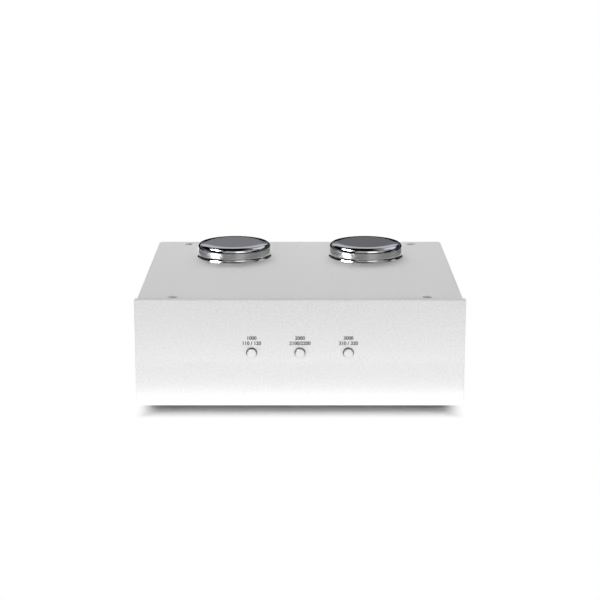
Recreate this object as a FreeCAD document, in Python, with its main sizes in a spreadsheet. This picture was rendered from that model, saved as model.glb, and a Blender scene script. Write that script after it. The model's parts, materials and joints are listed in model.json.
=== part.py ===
import FreeCAD, Part
import math
import os
import re
import Sketcher

# A moving coil step-up amplifier: a flat box with two capped transformers
# X runs to the right, Y to the back and Z up, seen from the front, in millimetres.
# The origin lies on the ground under the middle of the whole object.

SIZES = {
    # Case
    "panel_width": 206.0,
    "panel_height": 68.4,
    "panel_thick": 4.3,
    "panel_chamfer": 0.5,
    "cover_inset": 1.2,       # the cover's side lies this far inside the panel's
    "cover_length": 171.4,
    "cover_sheet": 1.5,
    "bend_radius": 2.0,       # outside of the cover's folds
    "side_gap": 0.2,          # between the cover's sides and what they enclose
    "base_thick": 2.0,
    "rear_thick": 2.0,
    "rear_recess": 3.4,       # the rear panel lies this far inside the cover
    "rear_top_gap": 0.2,
    "rail_side": 6.4,
    "groove_width": 2.6,      # the case screws cut their threads in the rails' grooves
    "groove_depth": 5.4,
    # Feet
    "foot_height": 3.6,
    "foot_radius": 7.5,
    "foot_x": 86.0,
    "foot_edge": 20.0,        # from their centres to the case's front and rear edges
    # Caps over the transformers
    "cap_x": 45.675,
    "cap_rear": 45.85,        # from their centres to the case's rear edge
    "bead_radius": 25.28,
    "bead_lip": 0.8,
    "bead_height": 2.3,
    "ring_radius": 24.74,
    "ring_wall": 2.5,
    "ring_height": 6.6,
    "lid_radius": 25.0,
    "lid_round": 3.0,         # quarter round of the lid's edge, as high as the lid
    # Transformers
    "can_corner_gap": 0.7,    # from the can's corners to the cap ring
    "can_sheet": 0.8,
    "can_gap": 0.2,           # around the can in the cover
    "can_top_gap": 0.3,
    "leg_width": 9.0,
    "window_height": 44.0,
    "core_gap": 0.3,          # between the core's sides and the can
    "core_stack": 12.0,
    "coil_gap": 0.2,
    # Boards
    "board_thick": 1.6,
    "board_side_gap": 8.0,    # from the boards' ends to the case's sides
    "main_board_inset": 10.0,
    "board_edge_gap": 0.5,
    "socket_depth": 15.8,     # from the rear panel's inside to the socket board
    "socket_board_clear": 4.0,
    "spacer_height": 8.0,
    "spacer_flats": 5.5,
    "spacer_inset": 8.0,
    "header_length": 36.0,
    "header_side": 5.0,
    "ribbon_width": 20.0,
    "ribbon_thick": 1.0,
    "ribbon_bend": 5.0,
    "ribbon_reach": 12.0,
    "ribbon_drop": 6.0,       # below the buttons' line
    # Push buttons and their switches
    "button_pitch": 30.2,
    "button_radius": 3.0,
    "button_gap": 0.47,       # around a button in its hole
    "button_proud": 1.6,
    "button_length": 9.0,
    "button_chamfer": 0.3,
    "button_travel": 1.5,
    "plunger_side": 2.6,
    "plunger_gap": 0.1,
    "plunger_grip": 3.0,      # length held inside the button
    "plunger_depth": 5.0,     # length inside the switch, at rest
    "plunger_end_gap": 0.5,
    "switch_side": 8.0,
    "switch_length": 14.0,
    "switch_stand": 8.0,      # behind the front panel
    "switch_board_margin": 15.0,
    "switch_board_height": 26.0,
    "switch_spacer_rise": 8.0,
    # Places of the sockets on the rear panel
    "input_x": 76.0,
    "output_x": 46.0,
    # Balanced sockets
    "flange_width": 26.0,
    "flange_height": 31.0,
    "flange_thick": 2.0,
    "flange_corner": 2.5,
    "housing_width": 22.0,
    "housing_height": 28.4,
    "housing_gap": 0.2,       # around a housing in the rear panel
    "cup_radius": 9.6,
    "cup_depth": 14.0,
    "contact_offset": 4.1,    # from the socket's centre to each contact
    "contact_radius": 1.2,
    "contact_gap": 0.05,
    "contact_reach": 2.0,     # length of a tail inside the insert
    "pin_recess": 2.5,        # a pin's tip lies this far inside the cup
    "insert_radius": 7.7,
    "insert_recess": 1.0,
    # Latches
    "latch_width": 8.0,
    "latch_gap": 0.05,        # running gap at each side of the lever
    "latch_thick": 1.4,
    "latch_height": 11.1,     # pivot above the socket's centre
    "latch_pivot": 5.0,       # pivot inside the flange's face
    "latch_tail": 8.3,        # from the pivot to the inner end
    "latch_tooth": 1.5,
    "latch_fulcrum": 1.1,     # radius of the round bead that it rocks on
    "latch_tab_gap": 0.2,     # from the flange to the tab
    "latch_tab_depth": 2.0,
    "latch_tab": 2.4,
    "latch_slot_low": 8.5,
    "latch_slot_high": 13.2,
    "latch_slot_depth": 14.5,
    # Phono sockets
    "phono_side": 12.0,
    "barrel_radius": 4.15,
    "barrel_bore": 3.3,
    "barrel_proud": 9.5,
    "insulator_gap": 0.05,
    "insulator_recess": 0.5,
    "sleeve_radius": 2.0,
    "sleeve_bore": 1.65,
    "sleeve_length": 8.0,
    # Ground terminal
    "post_radius": 2.0,
    "post_gap": 0.2,
    "post_proud": 9.5,
    "post_head_flats": 7.0,
    "post_head_thick": 2.5,
    "thread_gap": 0.06,       # running gap of the washer and knob on the post
    "washer_radius": 4.5,
    "washer_thick": 1.2,
    "stack_gap": 0.05,        # between panel, washer and knob
    "knob_radius": 5.5,
    "knob_ridge": 0.4,
    "knob_end_gap": 0.5,
    "knob_end_thick": 1.5,
}

# Places and lengths that follow from the sizes
PLACES = {
    "panel_to_knob": "panel_thick + cover_length - rear_recess + post_proud + knob_end_gap + knob_end_thick",
    "front_y": "(button_proud - (panel_to_knob)) / 2",
    "cover_half": "panel_width / 2 - cover_inset",
    "inner_half": "cover_half - cover_sheet - side_gap",
    "panel_back": "front_y + panel_thick",
    "cover_end": "panel_back + cover_length",
    "rear_face": "cover_end - rear_recess",
    "rear_inside": "rear_face - rear_thick",
    "case_top": "foot_height + panel_height",
    "cover_inside": "case_top - cover_sheet",
    "floor_top": "foot_height + base_thick",
    "front_rail_y": "panel_back + rail_side / 2",
    "rear_rail_y": "rear_inside - rail_side / 2",
    "board_low": "floor_top + spacer_height",
    "board_top": "board_low + board_thick",
    "board_half": "inner_half - board_side_gap",
    "cap_y": "cover_end - cap_rear",
    "lid_low": "case_top + ring_height",
    "ring_bore": "ring_radius - ring_wall",
    "can_half": "0.707107 * (ring_bore - can_corner_gap)",
    "can_height": "lid_low - can_top_gap - board_top",
    "core_half": "can_half - can_sheet - core_gap",
    "yoke_width": "leg_width / 2",
    "window_width": "core_half - leg_width / 2 - yoke_width",
    "core_height": "window_height + 2 * yoke_width",
    "socket_board_back": "rear_inside - socket_depth",
    "socket_board_y": "socket_board_back - board_thick",
    "main_board_y": "panel_back + main_board_inset",
    "main_board_length": "socket_board_y - board_edge_gap - main_board_y",
    "button_line": "foot_height + panel_height / 2",
    "button_face": "front_y - button_proud",
    "switch_y": "panel_back + switch_stand",
    "switch_board_y": "switch_y + switch_length",
    "plunger_y": "button_face + button_length - plunger_grip",
    "switch_board_half": "button_pitch + switch_board_margin",
    "rails_low": "floor_top + rail_side",
    "rails_high": "cover_inside - rail_side",
    "row_gap": "(rails_high - rails_low - phono_side - housing_height) / 3",
    "phono_height": "rails_low + row_gap + phono_side / 2",
    "balanced_height": "rails_high - row_gap - housing_height / 2",
    "flange_face": "rear_face + flange_thick",
    "housing_length": "flange_face - socket_board_back",
    "cup_floor": "flange_face - cup_depth",
    "washer_y": "rear_face + stack_gap",
    "knob_y": "washer_y + washer_thick + stack_gap",
    "knob_bore": "rear_face + post_proud + knob_end_gap - knob_y",
}

HEXAGON = "0.577350"          # a hexagon's corner radius over its width across flats
LID_STEPS = 3                 # flat turns that make up the lid's quarter round
KNOB_RIDGES = 20
SIDES = (("left", -1), ("right", 1))
SWITCHES = (("input", -1), ("gain", 0), ("output", 1))
TINY = 1e-4

# Along which way a plane's own normal points, and the way back along its axis
NORMALS = {"XY_Plane": 1, "XZ_Plane": -1, "YZ_Plane": 1}
AHEAD, BEHIND, BOTH = 1, -1, 0

DOC = FreeCAD.newDocument("step_up_amplifier")
SHEET = DOC.addObject("Spreadsheet::Sheet", "sizes")


def fill_sheet():
    """Write every size into the sheet under its own name."""
    for row, (name, size) in enumerate(SIZES.items(), start=1):
        SHEET.set(f"A{row}", name)
        SHEET.set(f"B{row}", str(size))
        SHEET.setAlias(f"B{row}", name)
    DOC.recompute()


def formula(text):
    """Point each name in a sum at its cell in the sheet."""
    def swap(word):
        name = word.group()
        if name in PLACES:
            return "(" + formula(PLACES[name]) + ")"
        return "sizes." + name if name in SIZES else name
    return re.sub(r"[a-z][a-z_]*", swap, text)


def number(text):
    """What a sum of sizes comes to now."""
    return float(SHEET.evalExpression(formula(text)))


def bind(thing, field, text):
    """Tie one field of an object to a sum of sizes."""
    thing.setExpression(field, formula(text))


def place(thing, x, y, z):
    """Put a piece's own origin at x, y, z."""
    for axis, text in (("x", x), ("y", y), ("z", z)):
        bind(thing, f"Placement.Base.{axis}", text)
    DOC.recompute()
    return thing


def new_body(label):
    body = DOC.addObject("PartDesign::Body", label)
    body.Label = label
    return body


def origin_part(body, role):
    """The body's own plane or axis of that role."""
    return next(part for part in body.Origin.OriginFeatures if part.Role == role)


def sketch(body, name, role, at="0"):
    """An empty sketch on one of the body's planes, moved along that plane's axis."""
    flat = body.newObject("Sketcher::SketchObject", name)
    flat.AttachmentSupport = [(origin_part(body, role), "")]
    flat.MapMode = "FlatFace"
    bind(flat, "AttachmentOffset.Base.z", f"{NORMALS[role]} * ({at})")
    return flat


def hold(flat, shape, point, x, y):
    """Hold one point of a sketch at x, y from its origin."""
    for kind, text in (("DistanceX", x), ("DistanceY", y)):
        index = flat.addConstraint(Sketcher.Constraint(kind, -1, 1, shape, point, number(text)))
        bind(flat, f"Constraints[{index}]", text)


def outline(flat, points):
    """A closed outline of straight lines through the points."""
    first = flat.GeometryCount
    places = [FreeCAD.Vector(number(x), number(y), 0) for x, y in points]
    count = len(points)
    for step in range(count):
        flat.addGeometry(Part.LineSegment(places[step], places[(step + 1) % count]), False)
    for step in range(count):
        following = first + (step + 1) % count
        flat.addConstraint(Sketcher.Constraint("Coincident", first + step, 2, following, 1))
    for step, (x, y) in enumerate(points):
        hold(flat, first + step, 1, x, y)


def rectangle(flat, left, low, right, high):
    outline(flat, [(left, low), (right, low), (right, high), (left, high)])


def polygon(flat, x, y, radius, sides):
    """A regular outline with its corners on a circle."""
    corners = []
    for step in range(sides):
        angle = math.tau * (step + 0.5) / sides
        across, up = math.cos(angle), math.sin(angle)
        corners.append((f"{x} + {across:.6f} * ({radius})", f"{y} + {up:.6f} * ({radius})"))
    outline(flat, corners)


def circle(flat, x, y, radius):
    centre = FreeCAD.Vector(number(x), number(y), 0)
    shape = flat.addGeometry(Part.Circle(centre, FreeCAD.Vector(0, 0, 1), number(radius)), False)
    hold(flat, shape, 3, x, y)
    index = flat.addConstraint(Sketcher.Constraint("Radius", shape, number(radius)))
    bind(flat, f"Constraints[{index}]", radius)


def pad(body, name, flat, length, way):
    """Raise a sketch along its axis, back along it, or half each way."""
    raised = body.newObject("PartDesign::Pad", name)
    raised.Profile = flat
    bind(raised, "Length", length)
    normal = NORMALS[flat.AttachmentSupport[0][0].Role]
    raised.Midplane = way == BOTH
    raised.Reversed = way == -normal
    DOC.recompute()
    return raised


def pocket(body, name, flat, depth, way):
    """Cut a sketch's area away, to a depth or right through where depth is None."""
    before = body.Shape.Volume
    cut = body.newObject("PartDesign::Pocket", name)
    cut.Profile = flat
    if depth is None:
        cut.Type = "ThroughAll"
    else:
        bind(cut, "Length", depth)
    normal = NORMALS[flat.AttachmentSupport[0][0].Role]
    cut.Reversed = way == normal
    DOC.recompute()
    if body.Shape.Volume > before - TINY:
        raise RuntimeError(f"{body.Label}: {name} cuts nothing")
    return cut


def turn(body, name, points, plane="XZ_Plane"):
    """Turn an outline of radius and height once round the plane's upright axis."""
    flat = sketch(body, name + "_outline", plane)
    outline(flat, points)
    turned = body.newObject("PartDesign::Revolution", name)
    turned.Profile = flat
    turned.ReferenceAxis = (flat, ["V_Axis"])
    turned.Angle = 360
    DOC.recompute()
    return turned


def edges(feature, wanted):
    """Names of a feature's edges that pass a test."""
    return [f"Edge{index}" for index, edge in enumerate(feature.Shape.Edges, start=1) if wanted(edge)]


def dress(body, kind, name, feature, names, field, size):
    """A fillet or chamfer along some edges of a feature."""
    dressed = body.newObject("PartDesign::" + kind, name)
    dressed.Base = (feature, names)
    bind(dressed, field, size)
    DOC.recompute()
    return dressed


def repeat(body, first_axis, first_length, second_axis=None, second_length=None):
    """A second copy of the whole body along one axis, or a rectangle of four along two."""
    pattern = body.newObject("PartDesign::LinearPattern", "pattern")
    pattern.TransformMode = "Whole shape"
    pattern.Direction = (origin_part(body, first_axis), [""])
    bind(pattern, "Length", first_length)
    pattern.Occurrences = 2
    if second_axis:
        pattern.Direction2 = (origin_part(body, second_axis), [""])
        bind(pattern, "Length2", second_length)
        pattern.Occurrences2 = 2
    body.Tip = pattern
    DOC.recompute()
    return body


def block(label, low, size):
    """A plain box from its lowest corner and its size, each as x, y, z."""
    box = DOC.addObject("Part::Box", label)
    box.Label = label
    for field, text in zip(("Length", "Width", "Height"), size):
        bind(box, field, text)
    return place(box, *low)


def front_panel():
    """Thick plate with a chamfered rim and a hole for each button."""
    body = new_body("front_panel")
    face = sketch(body, "face", "XZ_Plane")
    rectangle(face, "-panel_width / 2", "0", "panel_width / 2", "panel_height")
    plate = pad(body, "plate", face, "panel_thick", AHEAD)
    rim = edges(plate, lambda edge: edge.BoundBox.YMax < TINY)
    dress(body, "Chamfer", "rim", plate, rim, "Size", "panel_chamfer")
    holes = sketch(body, "holes", "XZ_Plane")
    for name, step in SWITCHES:
        circle(holes, f"{step} * button_pitch", "panel_height / 2", "button_radius + button_gap")
    pocket(body, "button_holes", holes, None, AHEAD)
    return place(body, "0", "front_y", "foot_height")


def top_cover():
    """Sheet folded down at both sides and open for the transformers."""
    body = new_body("top_cover")
    section = sketch(body, "section", "XZ_Plane")
    outer, top = "cover_half", "panel_height"
    inner, ceiling = "(cover_half - cover_sheet)", "panel_height - cover_sheet"
    outline(section, [
        (f"-{outer}", "0"), (f"-{outer}", top), (outer, top), (outer, "0"),
        (inner, "0"), (inner, ceiling), (f"-{inner}", ceiling), (f"-{inner}", "0"),
    ])
    sheet = pad(body, "sheet", section, "cover_length", AHEAD)
    length = number("cover_length")

    def along(edge, height):
        box = edge.BoundBox
        return abs(box.ZMin - number(height)) < TINY and box.ZLength < TINY and box.YLength > length - TINY

    outside = edges(sheet, lambda edge: along(edge, top))
    folded = dress(body, "Fillet", "outer_fold", sheet, outside, "Radius", "bend_radius")
    inside = edges(folded, lambda edge: along(edge, ceiling))
    dress(body, "Fillet", "inner_fold", folded, inside, "Radius", "bend_radius - cover_sheet")
    openings = sketch(body, "openings", "XY_Plane")
    half = "(can_half + can_gap)"
    for name, side in SIDES:
        x, y = f"{side} * cap_x", "cap_y - panel_back"
        rectangle(openings, f"{x} - {half}", f"{y} - {half}", f"{x} + {half}", f"{y} + {half}")
    pocket(body, "can_openings", openings, None, AHEAD)
    return place(body, "0", "panel_back", "foot_height")


def base_plate():
    """Flat floor between the cover's sides."""
    size = ("2 * inner_half", "cover_length", "base_thick")
    return block("base_plate", ("-inner_half", "panel_back", "foot_height"), size)


def rear_panel():
    """Plate between the cover's sides, cut out for the sockets and the ground post."""
    body = new_body("rear_panel")
    face = sketch(body, "face", "XZ_Plane")
    rectangle(face, "-inner_half", "0", "inner_half", "cover_inside - rear_top_gap - floor_top")
    pad(body, "plate", face, "rear_thick", BEHIND)
    holes = sketch(body, "holes", "XZ_Plane")
    balanced = ("balanced_height", "housing_width", "housing_height")
    phono = ("phono_height", "phono_side", "phono_side")
    for name, side in SIDES:
        for across in ("input_x", "output_x"):
            for middle, width, height in (balanced, phono):
                x, z = f"{side} * {across}", f"{middle} - floor_top"
                half, rise = f"({width} / 2 + housing_gap)", f"({height} / 2 + housing_gap)"
                rectangle(holes, f"{x} - {half}", f"{z} - {rise}", f"{x} + {half}", f"{z} + {rise}")
    circle(holes, "0", "phono_height - floor_top", "post_radius + post_gap")
    pocket(body, "cut_outs", holes, None, BEHIND)
    return place(body, "0", "rear_face", "floor_top")


def rail(label, y, low, opens_up):
    """Square bar across the case, with a groove along it for the case screws."""
    body = new_body(label)
    half, groove = "rail_side / 2", "groove_width / 2"
    top, depth = "rail_side", "rail_side - groove_depth"
    section = [
        (f"-{half}", "0"), (half, "0"), (half, top), (groove, top),
        (groove, depth), (f"-{groove}", depth), (f"-{groove}", top), (f"-{half}", top),
    ]
    if not opens_up:
        section = [(across, f"rail_side - ({height})") for across, height in section]
    flat = sketch(body, "section", "YZ_Plane")
    outline(flat, section)
    pad(body, "bar", flat, "2 * inner_half", BOTH)
    return place(body, "0", y, low)


def rails():
    return [
        rail("front_top_rail", "front_rail_y", "cover_inside - rail_side", True),
        rail("rear_top_rail", "rear_rail_y", "cover_inside - rail_side", True),
        rail("front_bottom_rail", "front_rail_y", "floor_top", False),
        rail("rear_bottom_rail", "rear_rail_y", "floor_top", False),
    ]


def feet():
    """Four rubber discs under the corners."""
    body = new_body("feet")
    flat = sketch(body, "section", "XY_Plane")
    circle(flat, "0", "0", "foot_radius")
    pad(body, "foot", flat, "foot_height", AHEAD)
    repeat(body, "X_Axis", "2 * foot_x", "Y_Axis", "cover_end - front_y - 2 * foot_edge")
    return place(body, "-foot_x", "front_y + foot_edge", "0")


def main_board():
    size = ("2 * board_half", "main_board_length", "board_thick")
    return block("main_board", ("-board_half", "main_board_y", "board_low"), size)


def board_spacers():
    """Four hexagonal spacers between the floor and the main board."""
    body = new_body("board_spacers")
    flat = sketch(body, "section", "XY_Plane")
    polygon(flat, "0", "0", f"spacer_flats * {HEXAGON}", 6)
    pad(body, "spacer", flat, "spacer_height", AHEAD)
    across, along = "2 * (board_half - spacer_inset)", "main_board_length - 2 * spacer_inset"
    repeat(body, "X_Axis", across, "Y_Axis", along)
    return place(body, "spacer_inset - board_half", "main_board_y + spacer_inset", "floor_top")


def switch_board():
    return block(
        "switch_board",
        ("-switch_board_half", "switch_board_y", "button_line - switch_board_height / 2"),
        ("2 * switch_board_half", "board_thick", "switch_board_height"),
    )


def switch_board_spacers():
    """Four hexagonal spacers between the front panel and the switch board."""
    body = new_body("switch_board_spacers")
    flat = sketch(body, "section", "XZ_Plane")
    polygon(flat, "0", "0", f"spacer_flats * {HEXAGON}", 6)
    pad(body, "spacer", flat, "switch_board_y - panel_back", AHEAD)
    across = "switch_board_half - spacer_flats"
    repeat(body, "X_Axis", f"2 * ({across})", "Z_Axis", "2 * switch_spacer_rise")
    return place(body, f"-({across})", "panel_back", "button_line - switch_spacer_rise")


def socket_board():
    low = "floor_top + socket_board_clear"
    return block(
        "socket_board", ("-board_half", "socket_board_y", low),
        ("2 * board_half", "board_thick", f"cover_inside - 2 * socket_board_clear - ({low})"),
    )


def board_header():
    """Pin header that joins the main board to the socket board."""
    return block(
        "board_header", ("-header_length / 2", "socket_board_y - header_side", "board_top"),
        ("header_length", "header_side", "header_side"),
    )


def ribbon_cable():
    """Flat cable from the switch board's back, bent down onto the main board."""
    body = new_body("ribbon_cable")
    flat = sketch(body, "section", "YZ_Plane")
    top = "button_line - ribbon_drop - board_top"
    outline(flat, [
        ("0", top), ("ribbon_reach", top), ("ribbon_reach", "0"), ("ribbon_reach - ribbon_thick", "0"),
        ("ribbon_reach - ribbon_thick", f"{top} - ribbon_thick"), ("0", f"{top} - ribbon_thick"),
    ])
    strip = pad(body, "strip", flat, "ribbon_width", BOTH)
    high = number(top)
    outside = edges(strip, lambda edge: edge.BoundBox.ZMin > high - TINY and edge.BoundBox.YMin > TINY)
    bent = dress(body, "Fillet", "outer_bend", strip, outside, "Radius", "ribbon_bend + ribbon_thick")
    deep = number("ribbon_reach - ribbon_thick")
    low = high - number("ribbon_thick")

    def in_corner(edge):
        centre = edge.BoundBox.Center
        return abs(centre.y - deep) < TINY and abs(centre.z - low) < TINY

    dress(body, "Fillet", "inner_bend", bent, edges(bent, in_corner), "Radius", "ribbon_bend")
    return place(body, "0", "switch_board_y + board_thick", "board_top")


def transformer_can(name, side):
    """Square screening can, closed at the top, from the main board up into the cap."""
    body = new_body(name + "_transformer_can")
    flat = sketch(body, "outside", "XY_Plane")
    rectangle(flat, "-can_half", "-can_half", "can_half", "can_half")
    pad(body, "can", flat, "can_height", AHEAD)
    hollow = sketch(body, "inside", "XY_Plane")
    half = "(can_half - can_sheet)"
    rectangle(hollow, f"-{half}", f"-{half}", half, half)
    pocket(body, "hollow", hollow, "can_height - can_sheet", AHEAD)
    return place(body, f"{side} * cap_x", "cap_y", "board_top")


def transformer_core(name, side):
    """Laminated core with two windows, standing on the main board."""
    body = new_body(name + "_transformer_core")
    flat = sketch(body, "lamination", "XZ_Plane")
    rectangle(flat, "-core_half", "0", "core_half", "core_height")
    for way in (-1, 1):
        near, far = f"{way} * leg_width / 2", f"{way} * (leg_width / 2 + window_width)"
        rectangle(flat, near, "yoke_width", far, "yoke_width + window_height")
    pad(body, "stack", flat, "core_stack", BOTH)
    return place(body, f"{side} * cap_x", "cap_y", "board_top")


def transformer_winding(name, side):
    """Block of wound wire round the core's middle leg."""
    body = new_body(name + "_transformer_winding")
    flat = sketch(body, "turns", "XY_Plane")
    for reach in ("coil_gap", "window_width - coil_gap"):
        across, deep = f"leg_width / 2 + {reach}", f"core_stack / 2 + {reach}"
        rectangle(flat, f"-({across})", f"-({deep})", across, deep)
    pad(body, "coil", flat, "window_height - coil_gap", AHEAD)
    return place(body, f"{side} * cap_x", "cap_y", "board_top + yoke_width")


def cap_ring(name, side):
    """Turned ring with a bead round its foot, seated on the cover."""
    body = new_body(name + "_cap_ring")
    turn(body, "ring", [
        ("ring_bore", "0"), ("bead_radius", "0"), ("bead_radius", "bead_lip"), ("ring_radius", "bead_height"),
        ("ring_radius", "ring_height"), ("ring_bore", "ring_height"),
    ])
    return place(body, f"{side} * cap_x", "cap_y", "case_top")


def cap_lid(name, side):
    """Polished disc with a quarter round edge, seated on the ring."""
    body = new_body(name + "_cap_lid")
    edge = []
    for step in range(LID_STEPS + 1):
        angle = math.pi / 2 * step / LID_STEPS
        inward, up = 1 - math.cos(angle), math.sin(angle)
        edge.append((f"lid_radius - {inward:.6f} * lid_round", f"{up:.6f} * lid_round"))
    turn(body, "lid", [("0", "0")] + edge + [("0", "lid_round")])
    return place(body, f"{side} * cap_x", "cap_y", "lid_low")


def push_switch(name, step):
    """Switch housing with a square bore for its plunger."""
    body = new_body(name + "_switch")
    flat = sketch(body, "section", "XZ_Plane")
    half = "switch_side / 2"
    rectangle(flat, f"-{half}", f"-{half}", half, half)
    pad(body, "housing", flat, "switch_length", AHEAD)
    mouth = sketch(body, "mouth", "XZ_Plane")
    half = "(plunger_side / 2 + plunger_gap)"
    rectangle(mouth, f"-{half}", f"-{half}", half, half)
    pocket(body, "bore", mouth, "plunger_depth + button_travel + plunger_end_gap", AHEAD)
    return place(body, f"{step} * button_pitch", "switch_y", "button_line")


def plunger(name, step):
    """Square bar that slides in the switch and carries the button."""
    return block(
        name + "_plunger",
        (f"{step} * button_pitch - plunger_side / 2", "plunger_y", "button_line - plunger_side / 2"),
        ("plunger_side", "switch_y + plunger_depth - plunger_y", "plunger_side"),
    )


def button(name, step):
    """Turned button with a chamfered face and a square socket in its back."""
    body = new_body(name + "_button")
    turn(body, "button", [
        ("0", "0"), ("button_radius - button_chamfer", "0"), ("button_radius", "button_chamfer"),
        ("button_radius", "button_length"), ("0", "button_length"),
    ], "XY_Plane")
    grip = sketch(body, "grip", "XZ_Plane", "button_length")
    half = "plunger_side / 2"
    rectangle(grip, f"-{half}", f"-{half}", half, half)
    pocket(body, "grip_socket", grip, "plunger_grip", BEHIND)
    return place(body, f"{step} * button_pitch", "button_face", "button_line")


def contact_places():
    """Where the three contacts of a balanced socket lie round its centre."""
    return [("-contact_offset", "0"), ("contact_offset", "0"), ("0", "-contact_offset")]


def balanced_shells(label, across, latched):
    """Two flanged housings with round cups, made as one pair, with a slot where a latch moves."""
    body = new_body(label)
    flat = sketch(body, "flange_outline", "XZ_Plane")
    wide, tall = "flange_width / 2", "flange_height / 2"
    corners = []
    for x, z in ((1, 1), (-1, 1), (-1, -1), (1, -1)):
        beside = (f"{x} * ({wide} - flange_corner)", f"{z} * {tall}")
        below = (f"{x} * {wide}", f"{z} * ({tall} - flange_corner)")
        corners += [below, beside] if x == z else [beside, below]
    outline(flat, corners)
    pad(body, "flange", flat, "flange_thick", BEHIND)
    section = sketch(body, "housing_outline", "XZ_Plane")
    wide, tall = "housing_width / 2", "housing_height / 2"
    rectangle(section, f"-{wide}", f"-{tall}", wide, tall)
    pad(body, "housing", section, "housing_length", BEHIND)
    mouth = sketch(body, "mouth", "XZ_Plane")
    circle(mouth, "0", "0", "cup_radius")
    pocket(body, "cup", mouth, "cup_depth", BEHIND)
    if latched:
        slot = sketch(body, "latch_outline", "XZ_Plane")
        half = "(latch_width / 2 + latch_gap)"
        rectangle(slot, f"-{half}", "latch_slot_low", half, "latch_slot_high")
        pocket(body, "latch_slot", slot, "latch_slot_depth", BEHIND)
    holes = sketch(body, "contact_outlines", "XZ_Plane")
    for x, z in contact_places():
        polygon(holes, x, z, "contact_radius + contact_gap", 8)
    pocket(body, "contact_holes", holes, None, BEHIND)
    repeat(body, "X_Axis", f"2 * {across}")
    return place(body, f"-{across}", "flange_face", "balanced_height")


def balanced_inserts():
    """Two insulating plugs in the input cups, each with three contact holes."""
    body = new_body("balanced_input_inserts")
    flat = sketch(body, "section", "XZ_Plane")
    circle(flat, "0", "0", "insert_radius")
    for x, z in contact_places():
        polygon(flat, x, z, "contact_radius + contact_gap", 8)
    pad(body, "insert", flat, "cup_depth - insert_recess", AHEAD)
    repeat(body, "X_Axis", "2 * input_x")
    return place(body, "-input_x", "cup_floor", "balanced_height")


def contacts(label, across, tip):
    """Three contacts in each of two sockets, from the socket board to their tips."""
    body = new_body(label)
    flat = sketch(body, "section", "XZ_Plane")
    for x, z in contact_places():
        polygon(flat, x, z, "contact_radius", 8)
    pad(body, "contact", flat, f"{tip} - socket_board_back", AHEAD)
    repeat(body, "X_Axis", f"2 * {across}")
    return place(body, f"-{across}", "socket_board_back", "balanced_height")


def latch(name, side):
    """Lever with a tooth inside the cup and a tab outside, rocking on a round bead."""
    body = new_body(name + "_latch")
    flat = sketch(body, "side_view", "YZ_Plane")
    half, tab = "latch_thick / 2", "latch_tab / 2"
    tooth_low, tooth_end = "-latch_thick / 2 - latch_tooth", "latch_tooth - latch_tail"
    tab_start = "latch_pivot + latch_tab_gap"
    tab_end = tab_start + " + latch_tab_depth"
    outline(flat, [
        ("-latch_tail", tooth_low), (tooth_end, tooth_low), (tooth_end, f"-{half}"), (tab_start, f"-{half}"),
        (tab_start, f"-{tab}"), (tab_end, f"-{tab}"), (tab_end, tab), (tab_start, tab), (tab_start, half),
        ("-latch_tail", half),
    ])
    pad(body, "lever", flat, "latch_width", BOTH)
    bead = sketch(body, "fulcrum_outline", "YZ_Plane")
    circle(bead, "0", "0", "latch_fulcrum")
    pad(body, "fulcrum", bead, "latch_width", BOTH)
    pivot_y, pivot_z = "flange_face - latch_pivot", "balanced_height + latch_height"
    return place(body, f"{side} * input_x", pivot_y, pivot_z)


def phono_housings():
    """Four square housings on the socket board, flush with the rear panel's outside."""
    body = new_body("phono_housings")
    flat = sketch(body, "section", "XZ_Plane")
    half, apart = "phono_side / 2", "input_x - output_x"
    for shift in ("0", apart):
        rectangle(flat, f"{shift} - {half}", f"-{half}", f"{shift} + {half}", half)
    pad(body, "housing", flat, "rear_face - socket_board_back", AHEAD)
    repeat(body, "X_Axis", "input_x + output_x")
    return place(body, "-input_x", "socket_board_back", "phono_height")


def phono_barrels():
    """Four metal barrels on the housings."""
    body = new_body("phono_barrels")
    flat = sketch(body, "section", "XZ_Plane")
    for shift in ("0", "input_x - output_x"):
        circle(flat, shift, "0", "barrel_radius")
        circle(flat, shift, "0", "barrel_bore")
    pad(body, "barrel", flat, "barrel_proud", AHEAD)
    repeat(body, "X_Axis", "input_x + output_x")
    return place(body, "-input_x", "rear_face", "phono_height")


def phono_insulators():
    """Four insulating plugs in the barrels, each open round its contact sleeve."""
    body = new_body("phono_insulators")
    flat = sketch(body, "section", "XZ_Plane")
    for shift in ("0", "input_x - output_x"):
        circle(flat, shift, "0", "barrel_bore - insulator_gap")
        polygon(flat, shift, "0", "sleeve_radius + insulator_gap", 8)
    pad(body, "insulator", flat, "barrel_proud - insulator_recess", AHEAD)
    repeat(body, "X_Axis", "input_x + output_x")
    return place(body, "-input_x", "rear_face", "phono_height")


def phono_contacts():
    """Four contact sleeves inside the insulators."""
    body = new_body("phono_contacts")
    flat = sketch(body, "section", "XZ_Plane")
    for shift in ("0", "input_x - output_x"):
        polygon(flat, shift, "0", "sleeve_radius", 8)
        polygon(flat, shift, "0", "sleeve_bore", 8)
    pad(body, "sleeve", flat, "sleeve_length", AHEAD)
    repeat(body, "X_Axis", "input_x + output_x")
    return place(body, "-input_x", "rear_face", "phono_height")


def ground_post():
    """Threaded post with a hexagonal head inside the rear panel."""
    body = new_body("ground_post")
    head = sketch(body, "head_outline", "XZ_Plane")
    polygon(head, "0", "0", f"post_head_flats * {HEXAGON}", 6)
    pad(body, "head", head, "post_head_thick", BEHIND)
    section = sketch(body, "post_outline", "XZ_Plane")
    circle(section, "0", "0", "post_radius")
    pad(body, "post", section, "rear_thick + post_proud", AHEAD)
    return place(body, "0", "rear_inside", "phono_height")


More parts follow.
